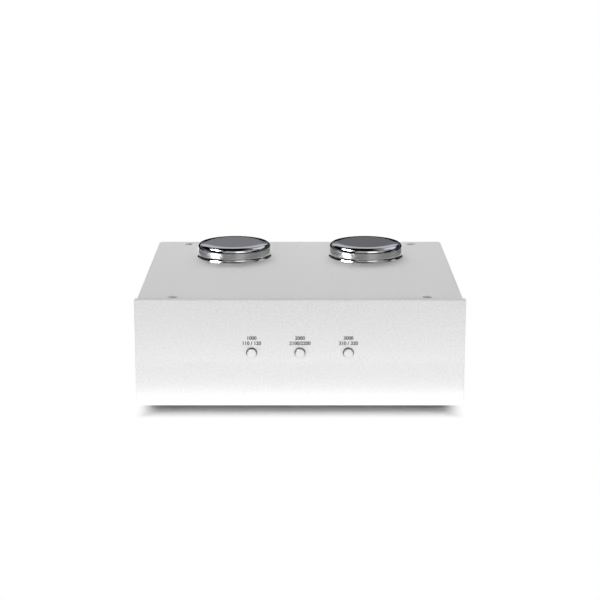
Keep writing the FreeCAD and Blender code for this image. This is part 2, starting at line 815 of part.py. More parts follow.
def ground_washer():
    """Loose washer under the knob."""
    body = new_body("ground_washer")
    flat = sketch(body, "section", "XZ_Plane")
    circle(flat, "0", "0", "washer_radius")
    circle(flat, "0", "0", "post_radius + thread_gap")
    pad(body, "washer", flat, "washer_thick", AHEAD)
    return place(body, "0", "washer_y", "phono_height")


def ground_knob():
    """Ridged knob with a blind bore that screws onto the post."""
    body = new_body("ground_knob")
    flat = sketch(body, "section", "XZ_Plane")
    points = []
    for step in range(2 * KNOB_RIDGES):
        angle = math.pi * step / KNOB_RIDGES
        radius = "knob_radius" if step % 2 else "(knob_radius - knob_ridge)"
        points.append((f"{math.cos(angle):.6f} * {radius}", f"{math.sin(angle):.6f} * {radius}"))
    outline(flat, points)
    pad(body, "knob", flat, "knob_bore + knob_end_thick", AHEAD)
    mouth = sketch(body, "mouth", "XZ_Plane")
    circle(mouth, "0", "0", "post_radius + thread_gap")
    pocket(body, "bore", mouth, "knob_bore", AHEAD)
    return place(body, "0", "knob_y", "phono_height")


def pieces():
    """Every sub-part of the object."""
    found = [front_panel(), top_cover(), base_plate(), rear_panel()] + rails()
    found += [feet(), main_board(), board_spacers(), switch_board(), switch_board_spacers()]
    found += [socket_board(), board_header(), ribbon_cable()]
    for name, side in SIDES:
        found += [transformer_can(name, side), transformer_core(name, side), transformer_winding(name, side)]
        found += [cap_ring(name, side), cap_lid(name, side), latch(name, side)]
    for name, step in SWITCHES:
        found += [push_switch(name, step), plunger(name, step), button(name, step)]
    found.append(balanced_shells("balanced_input_shells", "input_x", True))
    found.append(balanced_shells("balanced_output_shells", "output_x", False))
    found.append(balanced_inserts())
    found.append(contacts("balanced_input_contacts", "input_x", "cup_floor + contact_reach"))
    found.append(contacts("balanced_output_pins", "output_x", "flange_face - pin_recess"))
    found += [phono_housings(), phono_barrels(), phono_insulators(), phono_contacts()]
    found += [ground_post(), ground_washer(), ground_knob()]
    return found


def check(found):
    """Stop if any object failed or any sub-part has no sound solid."""
    for thing in DOC.Objects:
        if "Invalid" in thing.State or "Error" in thing.State:
            raise RuntimeError(f"{thing.Label} failed: {thing.State}")
    for piece in found:
        shape = piece.Shape
        if shape.isNull() or not shape.isValid() or not shape.Solids:
            raise RuntimeError(f"{piece.Label} has no sound solid")


fill_sheet()
sub_parts = pieces()
DOC.recompute()
check(sub_parts)
os.makedirs("parts", exist_ok=True)
for sub_part in sub_parts:
    sub_part.Shape.exportStep(f"parts/{sub_part.Label}.step")
print(len(sub_parts), "sub-parts,", sum(len(piece.Shape.Solids) for piece in sub_parts), "solids")
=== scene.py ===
"""Looks, light and camera for the moving coil step-up amplifier.

A low silver box on four feet: a blasted front panel with three small push buttons, a folded top
cover held by four countersunk screws, and two polished caps over the transformers. The rear has
balanced and phono sockets and a ground terminal. Lengths are in metres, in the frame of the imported
model.
"""

import json
import math

import bmesh
import bpy
from mathutils import Matrix, Vector

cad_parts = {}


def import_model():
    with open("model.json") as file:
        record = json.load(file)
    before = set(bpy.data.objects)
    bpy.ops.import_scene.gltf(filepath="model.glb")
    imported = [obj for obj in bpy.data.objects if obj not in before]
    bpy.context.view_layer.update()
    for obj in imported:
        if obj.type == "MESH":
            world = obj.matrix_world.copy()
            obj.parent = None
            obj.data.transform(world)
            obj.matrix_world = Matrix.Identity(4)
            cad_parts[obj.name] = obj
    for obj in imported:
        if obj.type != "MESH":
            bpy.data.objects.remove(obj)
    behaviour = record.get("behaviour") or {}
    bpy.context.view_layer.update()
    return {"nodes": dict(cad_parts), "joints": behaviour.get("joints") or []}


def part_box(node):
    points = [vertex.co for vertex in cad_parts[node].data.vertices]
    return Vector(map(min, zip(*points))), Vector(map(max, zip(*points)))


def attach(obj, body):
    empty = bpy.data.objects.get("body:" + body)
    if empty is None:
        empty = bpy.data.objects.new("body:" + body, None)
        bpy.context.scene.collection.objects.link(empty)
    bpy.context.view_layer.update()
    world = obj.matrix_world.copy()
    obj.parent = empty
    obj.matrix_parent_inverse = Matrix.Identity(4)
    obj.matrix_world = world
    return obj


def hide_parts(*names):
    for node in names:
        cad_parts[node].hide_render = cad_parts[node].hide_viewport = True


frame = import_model()

MM = 0.001
SIDES = (("left", -1), ("right", 1))
SWITCHES = ("input", "gain", "output")

# Angles between faces: from the first on an edge is shown sharp, from the second on it is broken
SHARP_ANGLE = math.radians(32)
BROKEN_ANGLE = math.radians(40)

# Sheet metal
PANEL_CHAMFER = 0.3 * MM
PANEL_CORNER = 0.8 * MM
SHEET = 1.5 * MM
FOLD_RADIUS = 2.0 * MM
EDGE = 0.15 * MM
CORNER = 0.5 * MM
CUTOUT_GAP = 0.2 * MM

# Buttons and their holes
BUTTON_HOLE = 3.42 * MM
HOLE_RAISED = 0.1 * MM
HOLE_EDGE = 0.1 * MM
HOLE_LIP = 0.6 * MM
HOLE_RELIEF = 0.7 * MM
BUTTON_EDGE = 0.55 * MM
BUTTON_LIP = 1.0 * MM
BUTTON_NECK = 0.7 * MM

# Rubber feet. The hollow has a radius at its ceiling and at its mouth, and a depth
FOOT_RADIUS = 7.5 * MM
FOOT_TAPER = 0.4 * MM
FOOT_HOLLOW = (3.4 * MM, 3.6 * MM, 1.9 * MM)

# Countersunk screws. The floor of the hexagon socket has a height at its wall and at its point
SHANK = 1.25 * MM
SHANK_GAP = 0.25 * MM
SCREW_LENGTH = 6.0 * MM
SCREW_TIP = 0.3 * MM
SCREW_STEPS = 48
HEAD = 2.58 * MM
HEAD_WALL = 0.25 * MM
HEAD_DEPTH = 1.53 * MM
HEAD_SOCKET = 1.2 * MM
HEAD_FLOOR = (-1.2 * MM, -1.5 * MM)
SOCKET_CHAMFER = (0.08 * MM, 0.1 * MM)
SINK = 0.12 * MM
RECESS = 3.1 * MM
RECESS_WALL = 0.3 * MM
CASE_SCREW_X = 79.5 * MM

# Round-headed screws at the rear and under the feet
PAN_HEAD = 2.7 * MM
PAN_RISE = 1.5 * MM
PAN_FLOOR = (0.4 * MM, 0.2 * MM)
REAR_SCREW_X = 96.0 * MM

# Caps. The ring's foot flares out: height over the cover in mm, and the face's turn from upright
FOOT = (
    (2.4, 0), (2.2, 3), (1.95, 6), (1.7, 9), (1.45, 13), (1.2, 18), (0.95, 25), (0.7, 34), (0.1, 40),
)
CAP_STEPS = 256
RING_RADIUS = 24.7 * MM
RING_WALL = 2.5 * MM
RING_EDGE_HIGH = 0.55 * MM
RING_EDGE_DEEP = 0.85 * MM
LID_ROUND = 2.78 * MM
LID_CROWN = 28.0 * MM
LID_START = math.radians(5)
LID_TURN = math.radians(79)
LID_STEPS = (16, 8)

# Balanced sockets
HOUSING = (22.0 * MM, 28.4 * MM)
FLANGE = (26.0 * MM, 31.0 * MM)
FLANGE_CORNER = 2.5 * MM
FLANGE_THICK = 2.0 * MM
FLANGE_SCREW = (9.8 * MM, 12.2 * MM)
FLANGE_SINK = 0.35 * MM
CUP_RADIUS = 9.6 * MM
CUP_DEPTH = 12.0 * MM
CUP_EDGE = 0.35 * MM
LATCH_HALF = 4.05 * MM
LATCH_TOP = 13.2 * MM
LATCH_ARM = 0.7 * MM
LATCH_TAB = 1.2 * MM
LATCH_BEAD = 1.1 * MM
LATCH_RISE = 0.25 * MM
LATCH_CATCH = 1.5 * MM
CONTACT_OFFSET = 4.1 * MM
CONTACT_HOLE = 1.35 * MM
PIN_RADIUS = 1.2 * MM
PIN_ROUND = 0.9 * MM
INSERT_RADIUS = 7.7 * MM

# Phono sockets
PHONO_SIDE = 12.0 * MM
PHONO_CORNER = 0.4 * MM
BARREL_RADIUS = 4.15 * MM
BARREL_BORE = 3.3 * MM
SLEEVE_BORE = 1.65 * MM
SLEEVE_RADIUS = 2.0 * MM
INSULATOR_GAP = 0.05 * MM

# Ground terminal. The post's head has half a width across its flats and a height
THREAD_PITCH = 0.7 * MM
THREAD_DEPTH = 0.25 * MM
POST_RADIUS = 2.0 * MM
POST_HEAD = (3.5 * MM, 2.5 * MM)
POST_GAP = 0.06 * MM
KNOB_RIDGES = 40
RIDGE_DEPTH = 0.35 * MM
KNOB_STEP = 0.45 * MM

# Lettering on the front panel, above each button
LEGEND_RISE = 6.25 * MM
LEGEND_PITCH = 3.35 * MM
LEGEND_SIZE = 3.1 * MM
LEGEND_WEIGHT = 0.09 * MM
LEGEND_LIFT = 0.01 * MM
LEGENDS = (
    ("input", "1000", "110 / 120"),
    ("gain", "2000", "2100/2200"),
    ("output", "3000", "310 / 320"),
)

# Camera, placed from the upper edge of the front panel
SENSOR_WIDTH = 36.0
CAMERA_LENS = 98.28
CAMERA_PITCH = math.radians(13.86)
CAMERA_AHEAD = 0.98536
CAMERA_ABOVE = 0.243085

# Background and floor. The floor fades to white between two distances from the footprint
AMBIENT = 0.2
FLOOR_REACH = 5.0
FLOOR_TONE = 0.82
FLOOR_SEEN = 0.92
FOOTPRINT = (0.0885, 0.0911)
FLOOR_FADE = (0.0005, 0.0155)

# What the metal mirrors between the cards, and a dark flag: half its width, its distance, its height
CARDS_RADIUS = 6.0
CARD_FLOOR = 0.002
FLAG = (1.0, 0.32, 0.09)

# Lamps: name, place, aimed at, width, height, power in watts
LAMPS = (
    ("back_low", (0.0, 2.2, 1.0), (0.0, 0.0, 0.05), 2.6, 1.0, 33.0),
    ("back_high", (0.0, 1.9, 1.35), (0.0, 0.0, 0.05), 2.6, 1.0, 17.8),
    ("overhead", (0.0, 0.0, 1.8), (0.0, 0.0, 0.0), 2.0, 1.2, 6.0),
    ("front_low", (0.0, -2.2, 0.25), (0.0, 0.0, 0.05), 2.0, 0.3, 14.4),
    ("table_near", (0.0, -0.1116, 0.0006), (0.0, -0.1116, 1.0), 0.5, 0.04, 0.013),
    ("table_wide", (0.0, -0.1316, 0.0006), (0.0, -0.1316, 1.0), 0.5, 0.08, 0.158),
)

# Cards round the object that only its metal mirrors: brightness, then from and to in degrees to the
# right of the front (or of straight behind), then from and to in degrees of height, then the soft
# edges of the left and right side, and of the top and bottom
FRONT_CARDS = (
    (48.0, -106, -69, 44, 58, (22, 4), 3),
    (2.0, -72, -50, 50, 58, (4, 4), 4),
    (0.42, -37, 60, 11, 64, (4, 8), 5),
    (0.42, 60, 90, 30, 62, (8, 10), 6),
    (0.95, 6, 38, 14, 52, (14, 16), 10),
)
REAR_CARDS = (
    (0.23, -100, 0, 10.9, 16, (4, 1), 0.8),
    (0.163, 0, 100, 10.9, 16, (1, 4), 0.8),
    (0.55, -28, 14, 16, 29, (16, 6), 2),
    (0.8, 14, 76, 30, 58, (8, 8), 5),
)

# Colour of the cards behind the object
REAR_TINT = (0.99, 1.0, 1.095)


# Places

def middle(node):
    low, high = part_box(node)
    return (low + high) / 2


def rail_screws(row_names, z):
    """Screw places over the middle of the rails: name, x, y, z."""
    rows = [(row, middle(f"{row}_rail").y) for row in row_names]
    return [(f"{row}_{side}", way * CASE_SCREW_X, y, z) for row, y in rows for side, way in SIDES]


def socket_places(node):
    """Centres of the four sockets in the row of a node: side, use, x, z."""
    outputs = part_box("balanced_output_pins")[1].x - CONTACT_OFFSET - PIN_RADIUS
    uses = (("input", middle("right_latch").x), ("output", outputs))
    return [(side, use, way * x, middle(node).z) for use, x in uses for side, way in SIDES]


# Outlines, each grown by a distance

def disc(x, y, radius, steps=64):
    def outline(grow):
        reach = radius + grow
        turns = [math.tau * step / steps for step in range(steps)]
        return [(x + reach * math.cos(turn), y + reach * math.sin(turn)) for turn in turns]
    return outline


def round_box(x, y, wide, tall, corner, steps=6):
    """A rectangle with rounded corners."""
    def outline(grow):
        reach = corner + grow
        points = []
        for quarter, (right, top) in enumerate(((1, 1), (-1, 1), (-1, -1), (1, -1))):
            across = x + right * (wide / 2 - corner)
            up = y + top * (tall / 2 - corner)
            for step in range(steps + 1):
                turn = math.pi / 2 * (quarter + step / steps)
                points.append((across + reach * math.cos(turn), up + reach * math.sin(turn)))
        return points
    return outline


def notched_disc(x, y, radius, half, top, steps=64):
    """A circle with an upright slot at its top, as wide as twice half."""
    def outline(grow):
        reach, wide = radius + grow, half + grow
        start = math.pi - math.asin(wide / reach) - math.pi / 2
        sweep = math.tau - (math.pi - 2 * start)
        turns = [math.pi - start + sweep * step / steps for step in range(steps + 1)]
        arc = [(x + reach * math.cos(turn), y + reach * math.sin(turn)) for turn in turns]
        return arc + [(x + wide, y + top + grow), (x - wide, y + top + grow)]
    return outline


def soften(points, steps=4):
    """A closed line of (x, y, rounding) points with each rounded corner drawn as an arc."""
    line = []
    for index, (x, y, rounding) in enumerate(points):
        here = Vector((x, y))
        if not rounding:
            line.append((x, y))
            continue
        beside = (points[index - 1], points[(index + 1) % len(points)])
        before, after = (Vector(point[:2]) - here for point in beside)
        ways = zip((before, after), beside)
        rooms = [max(way.length - point[2], way.length / 2) for way, point in ways]
        half = before.angle(after) / 2
        reach = min(rounding / math.tan(half), *rooms)
        radius = reach * math.tan(half)
        centre = here + (before.normalized() + after.normalized()).normalized() * radius / math.sin(half)
        start = here + before.normalized() * reach - centre
        turn = start.angle_signed(here + after.normalized() * reach - centre)
        for step in range(steps + 1):
            line.append(tuple(centre + Matrix.Rotation(-turn * step / steps, 2) @ start))
    return line


def hexagon(apothem):
    """Radius of a hexagon by angle."""
    sixth = math.pi / 3
    return lambda turn: apothem / math.cos((turn % sixth) - sixth / 2)


def ridged(radius, depth, count):
    """Radius of a knurled rim by angle."""
    return lambda turn: radius - depth / 2 + depth / 2 * math.cos(turn * count)


# Meshes

def added(name, data):
    """A new object in the scene."""
    obj = bpy.data.objects.new(name, data)
    bpy.context.scene.collection.objects.link(obj)
    return obj


def as_built(obj):
    """The mesh of an object with its modifiers applied."""
    bpy.context.view_layer.update()
    return bpy.data.meshes.new_from_object(obj.evaluated_get(bpy.context.evaluated_depsgraph_get()))


def four_corners(name, corners):
    """An object of one face."""
    mesh = bpy.data.meshes.new(name)
    mesh.from_pydata(corners, [], [(0, 1, 2, 3)])
    return added(name, mesh)


def finished(name, mesh, bevel=0.0):
    """An object from a mesh, with its edges broken if a width is given and its flats kept flat."""
    mesh.polygons.foreach_set("use_smooth", [True] * len(mesh.polygons))
    mesh.set_sharp_from_angle(angle=SHARP_ANGLE)
    obj = added(name, mesh)
    if bevel:
        broken = obj.modifiers.new("edges", "BEVEL")
        broken.width = bevel
        broken.segments = 2
        broken.limit_method = "ANGLE"
        broken.angle_limit = BROKEN_ANGLE
    weighted = obj.modifiers.new("normals", "WEIGHTED_NORMAL")
    weighted.keep_sharp = True
    return obj


def closed_mesh(name, shape):
    bmesh.ops.remove_doubles(shape, verts=shape.verts, dist=1e-7)
    bmesh.ops.recalc_face_normals(shape, faces=shape.faces)
    mesh = bpy.data.meshes.new(name)
    shape.to_mesh(mesh)
    shape.free()
    return mesh


def around(centre, axis, reach, turn, height):
    """A point at a height along an axis, at a reach and a turn round it."""
    across, up = reach * math.cos(turn), reach * math.sin(turn)
    if axis == "Z":
        return centre[0] + across, centre[1] + up, centre[2] + height
    return centre[0] + across, centre[1] + height, centre[2] + up


def turned(name, profile, centre, axis="Z", steps=96, loop=False):
    """A turned piece. Its profile holds (radius, height); a radius may be a function of the turn."""
    shape = bmesh.new()
    rings = []
    for radius, height in profile:
        if not callable(radius) and radius < 1e-9:
            rings.append([shape.verts.new(around(centre, axis, 0, 0, height))])
            continue
        ring = []
        for step in range(steps):
            turn = math.tau * step / steps
            reach = radius(turn) if callable(radius) else radius
            ring.append(shape.verts.new(around(centre, axis, reach, turn, height)))
        rings.append(ring)
    for first, second in zip(rings, rings[1:] + rings[:1] if loop else rings[1:]):
        for step in range(steps):
            following = (step + 1) % steps
            corners = [first[step % len(first)], first[following % len(first)]]
            corners += [second[following % len(second)], second[step % len(second)]]
            corners = list(dict.fromkeys(corners))
            if len(corners) > 2:
                shape.faces.new(corners)
    return finished(name, closed_mesh(name, shape))


def walled(name, walls):
    """A solid of flat faces and walls along Y. Each wall is a line of (outline, grow, depth) rings.
    All wall ends that lie at one depth bound one flat face, with holes where outlines lie inside
    others."""
    shape = bmesh.new()
    flats = {}
    for wall in walls:
        rings = []
        for outline, grow, depth in wall:
            rings.append([shape.verts.new((x, depth, z)) for x, z in outline(grow)])
        for first, second in zip(rings, rings[1:]):
            for step in range(len(first)):
                following = (step + 1) % len(first)
                shape.faces.new((first[step], first[following], second[following], second[step]))
        for ring, depth in ((rings[0], wall[0][2]), (rings[-1], wall[-1][2])):
            loop = zip(ring, ring[1:] + ring[:1])
            flats.setdefault(round(depth, 7), []).extend(shape.edges.get(pair) for pair in loop)
    for edges in flats.values():
        bmesh.ops.triangle_fill(shape, edges=edges, use_beauty=True)
    return finished(name, closed_mesh(name, shape))


def plate(name, outer, holes, low, high, chamfer=EDGE, hole_chamfer=EDGE):
    """A flat plate with holes and chamfered edges, from low to high in Y."""
    walls = []
    for outline, way, size in [(outer, -1, chamfer)] + [(hole, 1, hole_chamfer) for hole in holes]:
        walls.append([
            (outline, way * size, low), (outline, 0, low + size),
            (outline, 0, high - size), (outline, way * size, high),
        ])
    return walled(name, walls)


def drawn(name, outline, low, high, axis="Y", bevel=EDGE):
    """An outline drawn out along an axis, with its edges broken."""
    shape = bmesh.new()
    rings = []
    for depth in (low, high):
        if axis == "Y":
            corners = [(x, depth, z) for x, z in outline]
        else:
            corners = [(depth, y, z) for y, z in outline]
        rings.append([shape.verts.new(corner) for corner in corners])
        shape.faces.new(rings[-1])
    count = len(outline)
    for step in range(count):
        following = (step + 1) % count
        shape.faces.new((rings[0][step], rings[0][following], rings[1][following], rings[1][step]))
    return finished(name, closed_mesh(name, shape), bevel=bevel)


def block(name, low, high, bevel=0.0):
    outline = [(low.x, low.z), (high.x, low.z), (high.x, high.z), (low.x, high.z)]
    return drawn(name, outline, low.y, high.y, bevel=bevel)


def cut(obj, cutters):
    """The piece without the space that the cutters take, its edges broken as before."""
    bevel = max([item.width for item in obj.modifiers if item.type == "BEVEL"], default=0.0)
    obj.modifiers.clear()
    for cutter in cutters:
        taken = obj.modifiers.new("cut", "BOOLEAN")
        taken.object = cutter
        taken.solver = "EXACT"
    left = as_built(obj)
    name = obj.name
    for gone in [obj, *cutters]:
        bpy.data.objects.remove(gone)
    return finished(name, left, bevel=bevel)


def dress(piece, body, nodes, slot, finish=None):
    """Ties a piece to its body and hides the nodes that it stands for. Its finish is the slot's unless
    another is named."""
    piece.data.materials.clear()
    piece.data.materials.append(look[finish or slot])
    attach(piece, body)
    if nodes:
        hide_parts(*nodes)


# Materials

class Tree:
    """A node tree and short ways to add to it."""

    def __init__(self, tree):
        self.tree = tree

    def node(self, kind, **fields):
        made = self.tree.nodes.new(kind)
        for field, value in fields.items():
            setattr(made, field, value)
        return made

    def join(self, source, target):
        self.tree.links.new(source, target)

    def here(self):
        return self.node("ShaderNodeTexCoord").outputs["Object"]

    def parts(self, vector):
        """The X, Y and Z of a vector."""
        made = self.node("ShaderNodeSeparateXYZ")
        self.join(vector, made.inputs["Vector"])
        return made.outputs

    def maths(self, operation, *values):
        made = self.node("ShaderNodeMath", operation=operation)
        for socket, value in zip(made.inputs, values):
            if isinstance(value, float):
                socket.default_value = value
            else:
                self.join(value, socket)
        return made.outputs["Value"]

    def spread(self, source, low, high, start=0.3, end=0.7, kind="LINEAR"):
        """A source from start to end spread over a range of values."""
        made = self.node("ShaderNodeMapRange", interpolation_type=kind)
        for field, value in (("From Min", start), ("From Max", end), ("To Min", low), ("To Max", high)):
            made.inputs[field].default_value = value
        self.join(source, made.inputs["Value"])
        return made.outputs["Result"]

    def ramp(self, source, first, second, start, end, kind="LINEAR"):
        """A colour between two colours, by a source from 0 to 1."""
        made = self.node("ShaderNodeValToRGB")
        made.color_ramp.interpolation = kind
        for stop, place, shade in zip(made.color_ramp.elements, (start, end), (first, second)):
            stop.position = place
            stop.color = (*shade, 1)
        self.join(source, made.inputs["Fac"])
        return made.outputs["Color"]

    def where_seen(self, unseen, seen):
        """A value for plain light, and another for the rays that the camera, gloss and glass send."""
        path = self.node("ShaderNodeLightPath").outputs
        share = self.maths("MAXIMUM", path["Is Camera Ray"], path["Is Glossy Ray"])
        share = self.maths("MAXIMUM", share, path["Is Transmission Ray"])
        return self.spread(share, unseen, seen, 0.0, 1.0)


class Surface(Tree):
    """A Principled material and the nodes that vary it over the surface."""

    def __init__(self, name, metallic=0.0, roughness=0.5, **constants):
        self.material = bpy.data.materials.new(name)
        self.material.use_nodes = True
        super().__init__(self.material.node_tree)
        self.shader = self.tree.nodes["Principled BSDF"]
        self.shader.inputs["Metallic"].default_value = metallic
        self.shader.inputs["Roughness"].default_value = roughness
        for field, value in constants.items():
            self.shader.inputs[field.replace("_", " ")].default_value = value
        self.place = self.here()

    def stretch(self, scale):
        """The place with each axis scaled, so that a grain runs along one of them."""
        mapping = self.node("ShaderNodeMapping")
        mapping.inputs["Scale"].default_value = scale
        self.join(self.place, mapping.inputs["Vector"])
        return mapping.outputs["Vector"]

    def noise(self, size, detail=2.0, place=None):
        """Soft noise with features of about one size, in metres."""
        made = self.node("ShaderNodeTexNoise")
        made.inputs["Scale"].default_value = 1 / size
        made.inputs["Detail"].default_value = detail
        self.join(place or self.place, made.inputs["Vector"])
        return made.outputs["Fac"]

    def waves(self, size, direction, distortion):
        """Even stripes of one size across a direction."""
        made = self.node("ShaderNodeTexWave", bands_direction=direction)
        made.inputs["Scale"].default_value = math.tau / 20 / size
        made.inputs["Distortion"].default_value = distortion
        self.join(self.place, made.inputs["Vector"])
        return made.outputs["Fac"]

    def colour(self, source, first, second, start=0.3, end=0.7):
        self.join(self.ramp(source, first, second, start, end), self.shader.inputs["Base Color"])

    def rough(self, source, low, high, start=0.3, end=0.7):
        self.join(self.spread(source, low, high, start, end), self.shader.inputs["Roughness"])

    def relief(self, source, height, strength):
        """Bump of a height in metres."""
        made = self.node("ShaderNodeBump")
        made.inputs["Strength"].default_value = strength
        made.inputs["Distance"].default_value = height
        self.join(source, made.inputs["Height"])
        self.join(made.outputs["Normal"], self.shader.inputs["Normal"])


def grey(level):
    return (level, level, level)


def blasted(name, low, high):
    """Bead-blasted metal: a mottle of small patches over a fine grain."""
    made = Surface(name, metallic=0.15, roughness=0.55)
    made.colour(made.noise(1.3 * MM, detail=4.0), grey(low), grey(high), 0.36, 0.64)
    made.rough(made.noise(0.6 * MM), 0.48, 0.62)
    made.relief(made.noise(0.45 * MM, detail=3.0), 0.03 * MM, 0.35)
    return made.material


def silver_cover():
    """Folded sheet with a satin silver finish of very fine grain."""
    made = Surface("satin_silver_cover", roughness=0.6, Specular_IOR_Level=0.2)
    made.colour(made.noise(0.9 * MM, detail=4.0), grey(0.785), grey(0.83), 0.36, 0.64)
    made.rough(made.noise(5 * MM), 0.55, 0.65)
    made.relief(made.noise(0.35 * MM), 0.015 * MM, 0.3)
    return made.material


def turned_ring():
    """Turned wall whose fine lines run round it and spread the light up and down."""
    made = Surface("turned_ring", metallic=1.0, Anisotropic=1.0, Anisotropic_Rotation=0.25)
    tangent = made.node("ShaderNodeTangent", direction_type="RADIAL", axis="Z")
    made.join(tangent.outputs["Tangent"], made.shader.inputs["Tangent"])
    lines = made.noise(0.12 * MM, place=made.stretch((0.02, 0.02, 1.0)))
    made.colour(lines, grey(0.76), grey(0.86))
    made.rough(lines, 0.46, 0.52)
    return made.material


def polished(name, level, roughness):
    """Polished metal with faint haze."""
    made = Surface(name, metallic=1.0)
    haze = made.noise(6 * MM, detail=4.0)
    made.colour(haze, grey(0.98 * level), grey(level))
    made.rough(haze, roughness * 0.7, roughness * 1.3)
    made.relief(made.noise(0.3 * MM), 0.0005 * MM, 0.1)
    return made.material


def plain(name, first, second, size, metallic=0.0, low=0.4, high=0.6, height=0.02 * MM):
    """A surface whose colour, roughness and height follow noises of one size."""
    made = Surface(name, metallic=metallic)
    patches = made.noise(size, detail=4.0)
    made.colour(patches, first, second)
    made.rough(patches, low, high)
    made.relief(made.noise(size / 4), height, 0.4)
    return made.material


def striped(name, first, second, pitch, direction, metallic=0.0, roughness=0.5):
    """Even stripes, such as sheets in a stack, turns of wire or wires in a ribbon."""
    made = Surface(name, metallic=metallic)
    bands = made.waves(pitch, direction, 0.3)
    made.colour(bands, first, second, 0.1, 0.6)
    made.rough(made.noise(3 * MM), roughness * 0.8, roughness * 1.2)
    made.relief(bands, pitch / 6, 0.6)
    return made.material


def circuit_board():
    """Green board with a faint pattern of tracks under its lacquer."""
    made = Surface("circuit_board")
    tracks = made.node("ShaderNodeTexBrick")
    sizes = {"Scale": 1.0, "Brick Width": 14 * MM, "Row Height": 2.2 * MM, "Mortar Size": 0.25 * MM}
    for field, value in sizes.items():
        tracks.inputs[field].default_value = value
    made.join(made.place, tracks.inputs["Vector"])
    made.colour(tracks.outputs["Fac"], (0.012, 0.11, 0.035), (0.03, 0.20, 0.07), 0.0, 1.0)
    made.rough(made.noise(4 * MM), 0.28, 0.42)
    made.relief(tracks.outputs["Fac"], 0.03 * MM, 0.5)
    return made.material


def materials():
    """Every material by the name of the record's slot, and the few that the scene alone has."""
    black = (grey(0.018), grey(0.030))
    gold = ((0.80, 0.56, 0.22), (0.90, 0.66, 0.30))
    brass = ((0.66, 0.50, 0.24), (0.76, 0.60, 0.32))
    tape = ((0.30, 0.16, 0.02), (0.42, 0.24, 0.04))
    red = ((0.42, 0.012, 0.012), (0.55, 0.02, 0.02))
    return {
        "panel": blasted("blasted_panel", 0.81, 0.88),
        "cover": silver_cover(),
        "ring": turned_ring(),
        "bead": polished("polished_bead", 0.62, 0.08),
        "lid": polished("polished_lid", 0.74, 0.05),
        "button": plain("satin_button", grey(0.82), grey(0.88), 1.5 * MM, 0.75, 0.3, 0.38, 0.002 * MM),
        "rail": plain("milled_rail", grey(0.58), grey(0.66), 4 * MM, 1.0, 0.3, 0.45),
        "foot": plain("foot_rubber", grey(0.012), grey(0.024), 1.5 * MM, 0.0, 0.7, 0.85, 0.05 * MM),
        "board": circuit_board(),
        "black_plastic": plain("black_plastic", *black, 0.8 * MM, 0.0, 0.4, 0.55),
        "spacer": plain("brass_spacer", *brass, 2 * MM, 1.0, 0.25, 0.4),
        "ribbon": striped("ribbon_cable_grey", grey(0.30), grey(0.50), 1.27 * MM, "X"),
        "can": plain("annealed_can", grey(0.45), grey(0.55), 8 * MM, 1.0, 0.35, 0.5),
        "lamination": striped("stacked_laminations", grey(0.20), grey(0.34), 0.35 * MM, "Y", 0.9, 0.45),
        "winding": striped("taped_winding", *tape, 1.2 * MM, "Z", roughness=0.4),
        "shell": plain("die_cast_shell", grey(0.022), grey(0.034), 1.2 * MM, 0.3, 0.42, 0.55, 0.04 * MM),
        "steel": plain("plated_steel", grey(0.52), grey(0.62), 2 * MM, 1.0, 0.2, 0.35, 0.01 * MM),
        "contact": plain("gold_contact", *gold, 1.5 * MM, 1.0, 0.15, 0.28, 0.005 * MM),
        "insulator": plain("white_insulator", grey(0.62), grey(0.72), 1.5 * MM, 0.0, 0.3, 0.45),
        "insulator_red": plain("red_insulator", *red, 1.5 * MM, 0.0, 0.3, 0.45),
        "knob": plain("nickel_knob", grey(0.60), grey(0.70), 2 * MM, 1.0, 0.18, 0.3, 0.01 * MM),
        "screw": plain("satin_screw", grey(0.62), grey(0.74), 0.8 * MM, 0.55, 0.22, 0.34, 0.01 * MM),
        "legend": plain("legend_ink", grey(0.008), grey(0.014), 0.4 * MM, 0.0, 0.5, 0.65, 0.003 * MM),
    }


look = materials()


# Screws

def hex_socket(top, floor):
    """Profile of a hexagon socket, from its chamfered mouth to the point of its floor."""
    wide, deep = SOCKET_CHAMFER
    wall_end, point = floor
    wall = hexagon(HEAD_SOCKET)
    return [(hexagon(HEAD_SOCKET + wide), top), (wall, top - deep), (wall, wall_end), (0, point)]


def countersunk(name, place, up=1):
    """A countersunk screw with a hexagon socket, its head just under the surface."""
    head = soften([
        (0, -SCREW_LENGTH, 0), (SHANK, -SCREW_LENGTH, SCREW_TIP), (SHANK, -HEAD_DEPTH, 0),
        (HEAD, -HEAD_WALL, 0), (HEAD, 0, 0.1 * MM), (HEAD_SOCKET * 1.3, 0, 0),
    ])
    rings = head + hex_socket(0, HEAD_FLOOR)
    profile = [(radius, up * (height - SINK)) for radius, height in rings]
    screw = turned(name, profile, place, steps=SCREW_STEPS)
    dress(screw, "chassis", [], "steel", "screw")


def countersink(place, up=1):
    """Cutter for the cone and shallow wall that a countersunk head sits in."""
    hole = SHANK + SHANK_GAP
    rings = [
        (0, EDGE), (RECESS, EDGE), (RECESS, -RECESS_WALL), (hole, hole - RECESS - RECESS_WALL),
        (hole, -2 * SHEET), (0, -2 * SHEET),
    ]
    profile = [(radius, up * height) for radius, height in rings]
    return turned("cutter", profile, place, steps=SCREW_STEPS)


def pan_screw(name, place, axis, up, slot="steel", finish="screw"):
    """A round-headed screw with a hexagon socket, standing on a surface."""
    head = soften([
        (0, -SCREW_LENGTH, 0), (SHANK, -SCREW_LENGTH, SCREW_TIP), (SHANK, 0, 0), (PAN_HEAD, 0, 0),
        (PAN_HEAD, PAN_RISE, PAN_RISE * 0.8), (HEAD_SOCKET * 1.4, PAN_RISE, 0),
    ], 6)
    rings = head + hex_socket(PAN_RISE, PAN_FLOOR)
    profile = [(radius, up * height) for radius, height in rings]
    screw = turned(name, profile, place, axis, steps=SCREW_STEPS)
    dress(screw, "chassis", [], slot, finish)


# Case

